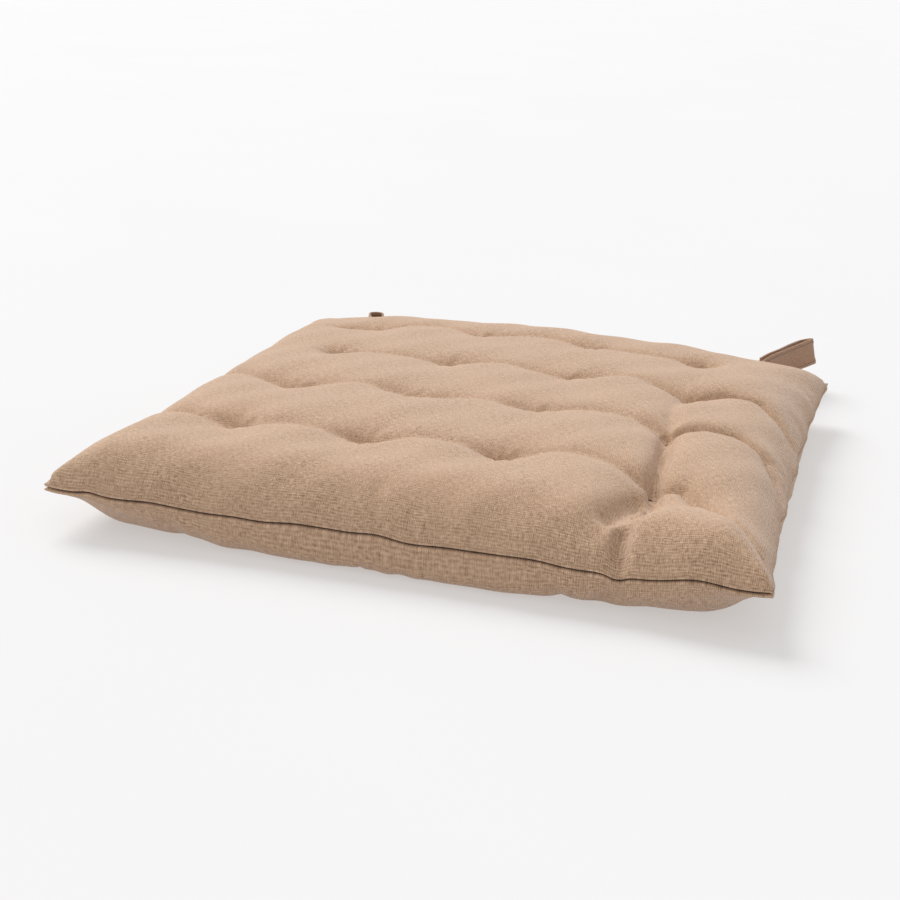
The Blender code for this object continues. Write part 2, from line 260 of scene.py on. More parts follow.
def fold_depth(x, y, spread=1.0):
    """How far the cover's top sinks along the folds that join the ties and run out from them."""
    sunk = np.zeros(x.shape)
    from_column = np.mod(x, 2 * INNER_TIE) - INNER_TIE
    near_tie = 0.45 + 0.55 * np.exp(-(from_column / 0.022) ** 2)
    columns = (-OUTER_TIE, -INNER_TIE, INNER_TIE, OUTER_TIE)
    row_bows = (
        (-OUTER_TIE, (0.002, 0.004, 0.012)),
        (-INNER_TIE, (0.008, 0.006, 0.014)),
        (INNER_TIE, (0.004, 0.008, 0.012)),
        (OUTER_TIE, (0.014, 0.010, 0.004)),
    )
    for row_y, bows in row_bows:
        for start_x, end_x, bow in zip(columns, columns[1:], bows):
            path = bowed_path((start_x, row_y), (end_x, row_y), bow)
            valley = crease(x, y, path, VALLEY_DEPTH, VALLEY_WIDTH * spread)
            sunk = np.maximum(sunk, near_tie * valley)
    to_left_edge = [
        ((-0.120, -0.120), (-0.147, -0.112), (-0.180, -0.100)),
        ((-0.120, -0.040), (-0.150, -0.026), (-0.178, -0.010)),
        ((-0.120, 0.120), (-0.150, 0.120), (-0.182, 0.112)),
    ]
    for path in to_left_edge:
        sunk = np.maximum(sunk, crease(x, y, path, 0.0045, 0.008 * spread))
    to_right_edge = [
        ((0.120, -0.040), (0.140, -0.029), (0.160, -0.028), (0.178, -0.037), (0.192, -0.066)),
        ((0.120, 0.040), (0.143, 0.052), (0.165, 0.052), (0.190, 0.030)),
        ((0.126, -0.119), (0.141, -0.119), (0.153, -0.134), (0.166, -0.148)),
        ((0.163, -0.150), (0.180, -0.160), (0.196, -0.176)),
    ]
    for path in to_right_edge:
        sunk = np.maximum(sunk, crease(x, y, path, 0.0050, 0.006 * spread))
    column_fold = ((0.120, 0.040), (0.116, 0.000), (0.120, -0.040))
    sunk = np.maximum(sunk, crease(x, y, column_fold, 0.0025, 0.010 * spread))
    strong_fold = (
        (0.120, -0.040), (0.124, -0.080), (0.126, -0.118), (0.130, -0.142), (0.125, -0.163))
    sunk = np.maximum(sunk, crease(x, y, strong_fold, 0.0072, 0.006 * spread))
    soft_valley = ((0.124, -0.143), (0.118, -0.158), (0.112, -0.172))
    sunk = np.maximum(sunk, crease(x, y, soft_valley, 0.0070, 0.008))
    nip = ((0.1205, -0.180), (0.1217, -0.1985))
    sunk = np.maximum(sunk, crease(x, y, nip, 0.0060, 0.004))
    small_nip = ((-0.011, -0.178), (-0.008, -0.193))
    sunk = np.maximum(sunk, crease(x, y, small_nip, 0.0022, 0.004))
    return sunk


def distance_to_seam(a, b):
    return np.minimum(HALF * (1 - abs(a)), HALF * (1 - abs(b)))


def start_shape():
    """The two panels before they swell: crowned on top, flat below, drawn in at the ties."""
    line = np.linspace(-1, 1, CELLS + 1)
    a, b = np.meshgrid(line, line, indexing="ij")
    x, y = seam_plan(a, b)
    near_corner_tie = bump(x, 0.120, 0.030) * bump(y, -0.120, 0.030)
    x = x + 0.0055 * near_corner_tie
    across = HALF * (1 - abs(a))
    along = HALF * (1 - abs(b))
    seam = seam_level(a, b)
    inwards = (np.maximum(across, 1e-4) ** -3 + np.maximum(along, 1e-4) ** -3) ** (-1 / 3)
    corner = abs(a * b)
    fullness = np.where(b < 0, CORNER_FULLNESS, 0.0)
    crown_rounding = CROWN_ROUNDING - fullness * corner ** 6 - FRONT_FULLNESS * bump(b, -1, 0.35)
    crown = CROWN * (1 - np.exp(-inwards / crown_rounding))
    top = seam + crown + DOME * (1 - a * a) * (1 - b * b)
    rounding = UNDERSIDE_ROUNDING + UNDERSIDE_CORNER_ROUNDING * corner ** 3
    spread = 1 - np.maximum(1 - across / rounding, 0) ** 3
    spread = spread * (1 - np.maximum(1 - along / rounding, 0) ** 3)
    bottom = seam * (1 - spread)
    folds = fold_depth(x, y) * np.minimum(crown / CROWN, 1.0)
    top = top - folds
    for _, _, tie_x, tie_y, tie_top, tie_bottom in tuft_marks():
        i, j = tuft_index(tie_x), tuft_index(tie_y)
        reach = np.hypot(x - x[i, j], y - y[i, j])
        top = top - (top[i, j] - tie_top) * np.exp(-(reach / DIMPLE_RADIUS) ** 1.3)
        pull_up = np.exp(-(reach / UNDERSIDE_DIMPLE_RADIUS) ** 1.5)
        bottom = bottom + (tie_bottom - bottom[i, j]) * pull_up
    return a, b, np.stack([x, y, top], -1), np.stack([x, y, bottom], -1)


def grid_quads(index, flip):
    corners = [index[:-1, :-1], index[1:, :-1], index[1:, 1:], index[:-1, 1:]]
    quads = np.stack(corners, -1).reshape(-1, 4)
    return quads[:, ::-1] if flip else quads


def swell(a, b, top, bottom):
    """The two panels joined at the seam and blown up from their flat cut, while seam and ties stay put."""
    n = CELLS + 1
    upper = np.arange(n * n).reshape(n, n)
    lower = upper.copy()
    inner = (slice(1, -1), slice(1, -1))
    lower[inner] = n * n + np.arange((n - 2) ** 2).reshape(n - 2, n - 2)
    points = np.concatenate([top.reshape(-1, 3), bottom[inner].reshape(-1, 3)])
    level = np.full(a.shape, SEAM)
    upper_cut = np.stack([a * HALF * CUT_EXTRA_ACROSS, b * HALF * CUT_EXTRA_ALONG, level], -1)
    lower_cut = np.stack([a * HALF * UNDERSIDE_EXTRA, b * HALF * UNDERSIDE_EXTRA, level], -1)
    cut = np.concatenate([upper_cut.reshape(-1, 3), lower_cut[inner].reshape(-1, 3)])
    faces = np.concatenate([grid_quads(upper, False), grid_quads(lower, True)])
    mesh = bpy.data.meshes.new("swelling")
    mesh.from_pydata(points.tolist(), [], faces.tolist())
    body = bpy.data.objects.new("swelling", mesh)
    bpy.context.scene.collection.objects.link(body)
    body.shape_key_add(name="Basis")
    key = body.shape_key_add(name="cut")
    key.data.foreach_set("co", cut.astype(np.float32).ravel())
    body.data.update()
    held = body.vertex_groups.new(name="held")
    rim = np.concatenate([upper[0], upper[-1], upper[1:-1, 0], upper[1:-1, -1]])
    held.add([int(index) for index in rim], 1.0, "REPLACE")
    for _, _, tie_x, tie_y, _, _ in tuft_marks():
        i, j = tuft_index(tie_x), tuft_index(tie_y)
        held.add([int(upper[i, j]), int(lower[i, j])], 1.0, "REPLACE")
    cloth = body.modifiers.new("swell", "CLOTH")
    settings = cloth.settings
    settings.quality = 6
    settings.mass = 0.3
    settings.tension_stiffness = 15
    settings.compression_stiffness = 8
    settings.shear_stiffness = 5
    settings.bending_stiffness = 0.3
    settings.tension_damping = 10
    settings.compression_damping = 10
    settings.shear_damping = 10
    settings.air_damping = 3
    settings.use_pressure = True
    settings.uniform_pressure_force = PRESSURE
    settings.vertex_group_mass = "held"
    settings.rest_shape_key = key
    settings.effector_weights.gravity = 0
    cloth.collision_settings.use_collision = False
    cloth.point_cache.frame_start = 1
    cloth.point_cache.frame_end = SWELL_FRAMES
    scene = bpy.context.scene
    for step in range(1, SWELL_FRAMES + 1):
        scene.frame_set(step)
    solved = body.evaluated_get(bpy.context.evaluated_depsgraph_get())
    moved = np.empty(len(points) * 3, np.float32)
    solved.data.vertices.foreach_get("co", moved)
    moved = moved.reshape(-1, 3).astype(float)
    bpy.data.objects.remove(body)
    scene.frame_set(1)
    return moved[upper], moved[lower]


def halve_spacing(grid):
    """The same surface with a new line of points between each two, placed on a smooth curve."""
    for axis in (0, 1):
        grid = np.moveaxis(grid, axis, 0)
        before = np.concatenate([2 * grid[:1] - grid[1:2], grid[:-2]])
        after = np.concatenate([grid[2:], 2 * grid[-1:] - grid[-2:-1]])
        middle = (9 * (grid[:-1] + grid[1:]) - before - after) / 16
        finer = np.empty((2 * len(grid) - 1, *grid.shape[1:]))
        finer[::2] = grid
        finer[1::2] = middle
        grid = np.moveaxis(finer, 0, axis)
    return grid


def surface_normals(grid):
    along_a = np.gradient(grid, axis=0)
    along_b = np.gradient(grid, axis=1)
    normals = np.cross(along_a, along_b)
    return normals / np.linalg.norm(normals, axis=-1, keepdims=True)


def edge_puckers(a, b, seed_turn):
    """Small gathers that run in from the seam, with an uneven rhythm."""
    across = HALF * (1 - abs(a))
    along = HALF * (1 - abs(b))
    x = a * HALF
    y = b * HALF
    raised = np.zeros(a.shape)
    for distance, place, turn in ((along, x, 0.0), (across, y, 1.9)):
        rhythm = np.sin(place * 290 + 3.0 * np.sin(place * 41 + turn) + seed_turn)
        rhythm = rhythm * (0.55 + 0.45 * np.sin(place * 67 + 2.1 * turn + seed_turn))
        raised = raised + rhythm * np.exp(-((distance - 0.004) / 0.0085) ** 2)
    return raised


def tie_puckers(x, y, ties):
    """Short folds that fan out from each tie."""
    raised = np.zeros(x.shape)
    for number, (tie_x, tie_y) in enumerate(ties):
        reach = np.hypot(x - tie_x, y - tie_y)
        angle = np.arctan2(y - tie_y, x - tie_x)
        rays = np.cos((6 + number % 3) * angle + 1.7 * number)
        raised = raised + rays * np.exp(-((reach - 0.009) / 0.006) ** 2)
    return raised


def soft_unevenness(x, y, turn):
    waves = np.sin(x * 83 + y * 31 + turn) + np.sin(y * 97 - x * 45 + 1.3 * turn)
    waves = waves + 0.6 * np.sin(x * 171 + y * 143 + 2.2 * turn)
    return waves / 2.6


def ridge_by_nip(x, y):
    """The rolls of cloth pushed up on both sides of the deep fold by the front right tie."""
    right_roll = path_distance(x, y, ((0.158, -0.152), (0.172, -0.166)))
    left_roll = path_distance(x, y, ((0.098, -0.150), (0.095, -0.172)))
    return np.exp(-(right_roll / 0.008) ** 2) + 0.6 * np.exp(-(left_roll / 0.010) ** 2)


def back_correction(x, b):
    """The wadding is fuller in the middle of the back edge than towards its ends."""
    change = 0.0030 * bump(x, 0.0, 0.085)
    change = change - 0.0042 * bump(x, -0.170, 0.060)
    change = change - 0.0026 * bump(x, 0.165, 0.045)
    return change * smooth((b - 0.5) / 0.3)


def front_slack(x, y):
    """The front row is filled less behind its roll, least of all in the right-hand corner."""
    behind_roll = 0.0034 * bump(y, -0.143, 0.022) * bump(x, -0.060, 0.120)
    corner_cell = 0.0080 * bump(x, 0.146, 0.030) * bump(y, -0.137, 0.030)
    return behind_roll + corner_cell


def underside_folds(x, y):
    """Gathers in the lower panel's front wall, under the ties and beside the nip."""
    sunk = crease(x, y, ((-0.016, -0.196), (-0.020, -0.176)), 0.0028, 0.0045)
    sunk = sunk + crease(x, y, ((0.088, -0.196), (0.094, -0.176)), 0.0032, 0.006)
    sunk = sunk + crease(x, y, ((0.1205, -0.199), (0.112, -0.184)), 0.0036, 0.004)
    sunk = sunk + crease(x, y, ((-0.128, -0.197), (-0.124, -0.180)), 0.0015, 0.005)
    return sunk


def even_out(a, b, start_top, start_bottom, top, bottom):
    """The swollen panels, part of the way back to their first shape inside, at the corners and low down."""
    inside = distance_to_seam(a, b)
    top = top + (start_top - top) * EVENNESS * smooth((inside - 0.020) / 0.030)[..., None]
    cornered = smooth((abs(a * b) - 0.70) / 0.22)
    kept = cornered * np.where(b < 0, 0.65, 0.10)
    top = top + (start_top - top) * kept[..., None]
    near_seam = 1 - smooth((inside - 0.012) / 0.020)
    kept = np.maximum(0.85 * cornered, 0.75 * near_seam)
    bottom = bottom + (start_bottom - bottom) * kept[..., None]
    return top, bottom


def belly_out(a, b, grid, belly):
    """The cloth beside the seam pushed out a little past it."""
    inside = distance_to_seam(a, b)
    amount = belly * smooth(inside / SIDE_BELLY_IN) * bump(inside, SIDE_BELLY_IN, SIDE_BELLY_SPREAD)
    grid[..., 0] += amount * a ** 21
    grid[..., 1] += amount * b ** 21


def press_top(a, b, top):
    """The upper panel with its creases, puckers and unevenness."""
    x, y = top[..., 0], top[..., 1]
    inside = distance_to_seam(a, b)
    ties = [top[2 * tuft_index(mark[2]), 2 * tuft_index(mark[3])][:2] for mark in tuft_marks()]
    top[..., 2] += back_correction(x, b) * smooth(inside / 0.02)
    top[..., 2] -= front_slack(x, y)
    rise = -FOLD_REDRAWN * fold_depth(x, y, 0.8) - FOLD_SHARPENED * fold_depth(x, y, 0.30)
    rise = rise + RIDGE_HEIGHT * ridge_by_nip(x, y) + TIE_PUCKERS_TOP * tie_puckers(x, y, ties)
    rise = rise + EDGE_PUCKERS_TOP * edge_puckers(a, b, 0.0) + UNEVEN_TOP * soft_unevenness(x, y, 0.4)
    free = smooth(inside / RELIEF_FULL)
    return top + surface_normals(top) * (rise * free)[..., None], ties


def press_bottom(a, b, bottom, top, ties):
    """The lower panel with its gathers, laid on the floor."""
    x, y = top[..., 0], top[..., 1]
    rise = TIE_PUCKERS_UNDER * tie_puckers(x, y, ties) + EDGE_PUCKERS_UNDER * edge_puckers(a, b, 2.4)
    rise = rise - underside_folds(bottom[..., 0], bottom[..., 1])
    rise = rise + UNEVEN_UNDER * soft_unevenness(x, y, 2.9)
    free = smooth(distance_to_seam(a, b) / RELIEF_FULL)
    bottom = bottom - surface_normals(bottom) * (rise * free)[..., None]
    bottom[..., 2] = FLOOR_SOFTNESS * np.logaddexp(0, bottom[..., 2] / FLOOR_SOFTNESS)
    return bottom


def shape_pad():
    """Fine grids of both panels' outer faces, with the shares a and b of their points."""
    a, b, start_top, start_bottom = start_shape()
    top, bottom = start_top, start_bottom
    top, bottom = swell(a, b, top, bottom)
    top, bottom = even_out(a, b, start_top, start_bottom, top, bottom)
    a, b = (halve_spacing(share[..., None])[..., 0] for share in (a, b))
    top = halve_spacing(top)
    bottom = halve_spacing(bottom)
    belly_out(a, b, top, SIDE_BELLY_TOP)
    belly_out(a, b, bottom, SIDE_BELLY_UNDER)
    pressed_top, ties = press_top(a, b, top)
    bottom = press_bottom(a, b, bottom, top, ties)
    return a, b, pressed_top, bottom


# Meshes

def add_object(name, mesh):
    made = bpy.data.objects.new(name, mesh)
    bpy.context.scene.collection.objects.link(made)
    return made


def solid_object(name, mesh, look):
    """The object made from an edited mesh, which is used up."""
    data = bpy.data.meshes.new(name)
    mesh.to_mesh(data)
    mesh.free()
    data.shade_smooth()
    data.materials.append(look)
    return add_object(name, data)


def grid_object(name, points, uvs, flip, look):
    """A grid of points as a mesh, with its place on the flat cut as the UV map."""
    rows, columns = points.shape[:2]
    index = np.arange(rows * columns).reshape(rows, columns)
    quads = grid_quads(index, flip)
    mesh = bpy.data.meshes.new(name)
    mesh.from_pydata(points.reshape(-1, 3).tolist(), [], quads.tolist())
    layer = mesh.uv_layers.new(name="cut")
    layer.data.foreach_set("uv", uvs.reshape(-1, 2)[quads.ravel()].astype(np.float32).ravel())
    mesh.shade_smooth()
    mesh.materials.append(look)
    return add_object(name, mesh)


def with_lips(b, points, side):
    """The panel's grid with its folded edge: it rolls over at the seam and turns in between the panels."""
    x = points[..., 0]
    opening = np.zeros(x.shape)
    for root_x in (-0.140, 0.140):
        opening = opening + STRAP_ROOT_OPENING * bump(x, root_x, 0.012) * bump(b, 1.0, 0.05)
    count = len(SEAM_LIPS) - 1
    wide = np.pad(points, ((count, count), (count, count), (0, 0)), mode="edge")
    wide_opening = np.pad(opening, count, mode="edge")
    n = wide.shape[0]
    place = np.arange(n)
    outside = np.maximum(np.maximum(count - place, place - (n - 1 - count)), 0)
    ring = np.maximum(outside[:, None], outside[None, :])
    on_rim = np.zeros((n, n), bool)
    on_rim[count, count:n - count] = on_rim[n - 1 - count, count:n - count] = True
    on_rim[count:n - count, count] = on_rim[count:n - count, n - 1 - count] = True
    touched = on_rim | (ring > 0)
    away_x = np.where(place <= count, -1.0, 0.0) + np.where(place >= n - 1 - count, 1.0, 0.0)
    out_x = np.broadcast_to(away_x[:, None], (n, n))
    out_y = np.broadcast_to(away_x[None, :], (n, n))
    outward = np.array([lip[0] for lip in SEAM_LIPS])[ring]
    upward = np.array([lip[1] for lip in SEAM_LIPS])[ring] + wide_opening
    wide[..., 0] += np.where(touched, out_x * outward, 0)
    wide[..., 1] += np.where(touched, out_y * outward, 0)
    wide[..., 2] += np.where(touched, side * upward, 0)
    return wide, count


def make_cover(name, a, b, points, side, look):
    wide, count = with_lips(b, points, side)
    shares = np.stack([a * HALF * CUT_EXTRA_ACROSS, b * HALF * CUT_EXTRA_ALONG], -1)
    uvs = np.pad(shares, ((count, count), (count, count), (0, 0)), mode="edge")
    made = grid_object(name, wide, uvs, side < 0, look)
    wall = made.modifiers.new("cloth thickness", "SOLIDIFY")
    wall.thickness = FABRIC
    wall.offset = -1
    wall.use_rim = True
    return apply_modifiers(made)


def apply_modifiers(made):
    """The object with its modifiers' result as its plain mesh."""
    solved = made.evaluated_get(bpy.context.evaluated_depsgraph_get())
    mesh = bpy.data.meshes.new_from_object(solved)
    made.modifiers.clear()
    made.data = mesh
    return made


def make_wadding_layer(name, lower, upper, look):
    """One closed layer of wadding between two surfaces, with a soft, uneven skin."""
    keep = slice(6, -6, 2)
    lower = lower[keep, keep].copy()
    upper = upper[keep, keep].copy()
    n = lower.shape[0]
    upper[..., 2] += UNEVEN_WADDING * soft_unevenness(upper[..., 0] * 3, upper[..., 1] * 3, 0.7)
    upper[..., 2] = np.maximum(upper[..., 2], lower[..., 2] + WADDING_LEAST)
    index = np.arange(n * n).reshape(n, n)
    top_quads = grid_quads(index, False)
    low_quads = grid_quads(index + n * n, True)
    rim = [*index[:-1, 0], *index[-1, :-1], *index[:0:-1, -1], *index[0, :0:-1]]
    wall = [(p + n * n, q + n * n, q, p) for p, q in zip(rim, rim[1:] + rim[:1])]
    faces = np.concatenate([top_quads, low_quads, np.array(wall)])
    points = np.concatenate([upper.reshape(-1, 3), lower.reshape(-1, 3)])
    mesh = bpy.data.meshes.new(name)
    mesh.from_pydata(points.tolist(), [], faces.tolist())
    mesh.shade_smooth()
    mesh.materials.append(look)
    return add_object(name, mesh)


# Stitches and ties, made with Geometry Nodes

def add_node(tree, kind, inputs=(), **settings):
    """One node with its settings; an input is a value or the socket that feeds it."""
    node = tree.nodes.new(kind)
    for name, value in settings.items():
        setattr(node, name, value)
    for socket, value in inputs:
        if isinstance(value, bpy.types.NodeSocket):
            tree.links.new(value, node.inputs[socket])
        else:
            node.inputs[socket].default_value = value
    return node


def new_geometry_tree(name, sizes):
    tree = bpy.data.node_groups.new(name, "GeometryNodeTree")
    tree.interface.new_socket("Geometry", in_out="INPUT", socket_type="NodeSocketGeometry")
    for size, value in sizes:
        socket = tree.interface.new_socket(size, in_out="INPUT", socket_type="NodeSocketFloat")
        socket.default_value = value
    tree.interface.new_socket("Geometry", in_out="OUTPUT", socket_type="NodeSocketGeometry")
    return tree


def stitch_shape(tree, source):
    """A short grain of thread lying along X."""
    grain = add_node(tree, "GeometryNodeMeshUVSphere", [("Segments", 6), ("Rings", 5), ("Radius", 0.5)])
    size = add_node(tree, "ShaderNodeCombineXYZ", [
        ("X", source.outputs["Stitch length"]),
        ("Y", source.outputs["Thread thickness"]),
        ("Z", source.outputs["Thread thickness"])])
    turned = add_node(tree, "GeometryNodeTransform", [
        ("Geometry", grain.outputs["Mesh"]), ("Rotation", (0.0, math.pi / 2, 0.0))])
    return add_node(tree, "GeometryNodeTransform", [
        ("Geometry", turned.outputs["Geometry"]), ("Scale", size.outputs["Vector"])])


def end_tree(tree, geometry, look):
    real = add_node(tree, "GeometryNodeRealizeInstances", [("Geometry", geometry)])
    smooth_shade = add_node(tree, "GeometryNodeSetShadeSmooth", [("Geometry", real.outputs["Geometry"])])
    finish = add_node(tree, "GeometryNodeSetMaterial", [
        ("Geometry", smooth_shade.outputs["Geometry"]), ("Material", look)])
    add_node(tree, "NodeGroupOutput", [("Geometry", finish.outputs["Geometry"])])


def stitch_row_tree(look):
    """Stitches one after another along every path it is given."""
    tree = new_geometry_tree("stitch_row", [
        ("Spacing", 0.0030), ("Stitch length", 0.0024), ("Thread thickness", 0.0006)])
    source = add_node(tree, "NodeGroupInput")
    path = add_node(tree, "GeometryNodeMeshToCurve", [("Mesh", source.outputs["Geometry"])])
    places = add_node(tree, "GeometryNodeResampleCurve", [("Curve", path.outputs["Curve"])])
    places.mode = "LENGTH"
    tree.links.new(source.outputs["Spacing"], places.inputs["Length"])
    tangent = add_node(tree, "GeometryNodeInputTangent")
    turn = add_node(tree, "FunctionNodeAlignRotationToVector", [("Vector", tangent.outputs["Tangent"])])
    turn.axis = "X"
    stitches = add_node(tree, "GeometryNodeInstanceOnPoints", [
        ("Points", places.outputs["Curve"]),
        ("Instance", stitch_shape(tree, source).outputs["Geometry"]),
        ("Rotation", turn.outputs["Rotation"])])
    end_tree(tree, stitches.outputs["Instances"], look)
    return tree


def tuft_tie_tree(look):
    """A thread down through the pad at each edge it is given, with a short stitch over both its ends."""
    tree = new_geometry_tree("tuft_ties", [
        ("Stitch length", 0.0050), ("Thread thickness", 0.0013), ("Turn seed", 7.0)])
    source = add_node(tree, "NodeGroupInput")
    line = add_node(tree, "GeometryNodeMeshToCurve", [("Mesh", source.outputs["Geometry"])])
    half = add_node(tree, "ShaderNodeMath", [
        (0, source.outputs["Thread thickness"]), (1, 0.5)], operation="MULTIPLY")
    round_section = add_node(tree, "GeometryNodeCurvePrimitiveCircle", [
        ("Resolution", 8), ("Radius", half.outputs["Value"])])
    column = add_node(tree, "GeometryNodeCurveToMesh", [
        ("Curve", line.outputs["Curve"]), ("Profile Curve", round_section.outputs["Curve"]),
        ("Fill Caps", True)])
    turn = add_node(tree, "FunctionNodeRandomValue", data_type="FLOAT_VECTOR")
    turn.inputs[0].default_value = (0.0, 0.0, -0.5)
    turn.inputs[1].default_value = (0.0, 0.0, 0.5)
    tree.links.new(source.outputs["Turn seed"], turn.inputs["Seed"])
    stitches = add_node(tree, "GeometryNodeInstanceOnPoints", [
        ("Points", source.outputs["Geometry"]),
        ("Instance", stitch_shape(tree, source).outputs["Geometry"]),
        ("Rotation", turn.outputs["Value"])])
    both = add_node(tree, "GeometryNodeJoinGeometry")
    tree.links.new(stitches.outputs["Instances"], both.inputs["Geometry"])
    tree.links.new(column.outputs["Mesh"], both.inputs["Geometry"])
    end_tree(tree, both.outputs["Geometry"], look)
    return tree


def grow(name, points, edges, tree, sizes, look):
    """The mesh that a tree makes from a wire of points and edges."""
    mesh = bpy.data.meshes.new(name)
    mesh.from_pydata([tuple(map(float, point)) for point in points], edges, [])
    made = add_object(name, mesh)
    nodes = made.modifiers.new("made by nodes", "NODES")
    nodes.node_group = tree
    for socket in tree.interface.items_tree:
        if socket.in_out == "INPUT" and socket.name in sizes:
            nodes[socket.identifier] = sizes[socket.name]
    apply_modifiers(made)
    if not made.data.materials:
        made.data.materials.append(look)
    return made


def chain(count, start=0):
    return [(start + step, start + step + 1) for step in range(count - 1)]


def make_seam_stitches(a, b, top, bottom, tree, look):
    """The thread that closes the cover: the machine seam, and the hand-closed gap at the back."""
    rim_top = rim_loop(top)
    rim_bottom = rim_loop(bottom)
    seam = (rim_top + rim_bottom) / 2
    shares = rim_loop(np.stack([a, b], -1))
    outwards = np.where(abs(shares) > 0.9999, np.sign(shares), 0.0)
    seam[:, :2] -= SEAM_THREAD_INSET * outwards
    closing = (shares[:, 1] > 0.999) & (abs(shares[:, 0] * HALF) < CLOSING_SEAM_HALF)
    start = int(np.argmax(closing))
    seam = np.roll(seam, -start, axis=0)
    closing = np.roll(closing, -start)
    count = int(closing.sum())
    sizes = {"Spacing": 0.0032, "Stitch length": 0.0028, "Thread thickness": 0.0009}
    gap = grow("closing_seam_stitches", seam[:count], chain(count), tree, sizes, look)
    rest = np.concatenate([seam[count - 1:], seam[:1]])[1:-1]
    edge = grow("edge_seam_stitches", rest, chain(len(rest)), tree, sizes, look)
    return edge, gap


def rim_loop(grid):
    """The grid's outermost points, once round."""
    return np.concatenate([grid[:-1, 0], grid[-1, :-1], grid[:0:-1, -1], grid[0, :0:-1]])


def make_tuft_ties(top, bottom, tree, look):
    points = []
    edges = []
    for _, _, tie_x, tie_y, _, _ in tuft_marks():
        i, j = 2 * tuft_index(tie_x), 2 * tuft_index(tie_y)
        edges.append((len(points), len(points) + 1))
        points.append(bottom[i, j] - (0, 0, TIE_STAND))
        points.append(top[i, j] + (0, 0, TIE_STAND))
    sizes = {"Stitch length": 0.0050, "Thread thickness": 0.0014, "Turn seed": 7.0}
    return grow("tuft_ties", points, edges, tree, sizes, look)


# Straps

class Strap:
    """Places along one strap, from its root in the seam to the turn at its tip."""

    def __init__(self, word):
        joints = {joint["name"]: joint for joint in frame["record"]["behaviour"]["joints"]}
        self.word = word
        swing = joints[f"strap_{word}_swing"]
        self.root = Vector(swing["pos_m"])
        self.tip = Vector(joints[f"strap_{word}_open"]["pos_m"])
        self.side = 1 if self.root.x > 0 else -1
        forward = self.tip - self.root
        forward.z = 0
        self.forward = forward.normalized()
        self.outward = Vector((self.forward.y, -self.forward.x, 0)) * self.side
        seam = Vector(swing["axis"])
        self.along_seam = seam * self.side
        self.out_of_seam = Vector((-seam.y, seam.x, 0))

    def lean(self, length):
        """How far the raised strap's loop leans back, more and more towards its tip."""
        if self.word == "left":
            return 0.0
        return LOOP_LEAN * float(smooth((length - RISE_END) / (TURN_CENTRE - RISE_END)))

    def place(self, length, offset):
        lean = self.lean(length)
        point = self.root + self.forward * length + self.outward * (offset * math.cos(lean))
        rise = float(smooth(length / RISE_END))
        skew = LOOP_SKEW * lean / LOOP_LEAN
        point.z = self.root.z + (self.tip.z - self.root.z) * rise + offset * (math.sin(lean) + skew)
        return point

    def run(self):
        """(length, offset) of the band's middle line: out along the sewn run, round the turn and back."""
        stations = []
        for step in range(TWIST_STATIONS):
            length = (TWIST_END + ROOT_HIDDEN) * step / (TWIST_STATIONS - 1) - ROOT_HIDDEN
            stations.append((length, BAND_OFFSET * float(smooth(length / TWIST_END))))
        for step in range(1, SEWN_STATIONS + 1):
            share = step / SEWN_STATIONS
            stations.append((TWIST_END + (LOOP_START - TWIST_END) * share, BAND_OFFSET))
        for step in range(1, LOOP_STATIONS + 1):
            share = step / LOOP_STATIONS
            offset = BAND_OFFSET + (LOOP_HALF_WIDTH - BAND_OFFSET) * float(smooth(share))
            stations.append((LOOP_START + (TURN_CENTRE - LOOP_START) * share, offset))
        back = [(length, -offset) for length, offset in stations if length >= FREE_END]
        for step in range(1, TURN_STATIONS):
            angle = math.pi / 2 - math.pi * step / TURN_STATIONS
            length = TURN_CENTRE + TURN_DEPTH * math.cos(angle)
            stations.append((length, LOOP_HALF_WIDTH * math.sin(angle)))
        return stations + back[::-1]

    def frames(self):
        """(middle, across, out, length run) at each station of the band."""
        stations = self.run()
        middles = [self.place(length, offset) for length, offset in stations]
        total = 0.0
        made = []
        for number, (length, _) in enumerate(stations):
            ahead = middles[min(number + 1, len(middles) - 1)]
            behind = middles[max(number - 1, 0)]
            along = (ahead - behind).normalized()
            level = self.outward
            stand = math.pi / 2 + self.lean(length)
            if number < TWIST_STATIONS:
                level = self.along_seam.lerp(level, float(smooth(length / FLAT_ROOT))).normalized()
                stand = math.pi / 2 * float(smooth(length / TWIST_END))
            across = level * math.cos(stand) + Vector((0, 0, math.sin(stand)))
            across = (across - along * across.dot(along)).normalized()
            out = across.cross(along).normalized() * self.side
            total += (middles[number] - behind).length
            made.append((middles[number], across, out, total))
        return made


# Half of the band's cross-section: how far across it, and how thick each face stands there
BAND_SECTION = ((-0.0100, 0.0002), (-0.0098, 0.0006), (-0.0092, 0.00085), (-0.0062, 0.00085),
                (-0.0056, 0.00055), (-0.0020, 0.00050), (0.0020, 0.00050), (0.0056, 0.00055),
                (0.0062, 0.00085), (0.0092, 0.00085), (0.0098, 0.0006), (0.0100, 0.0002))


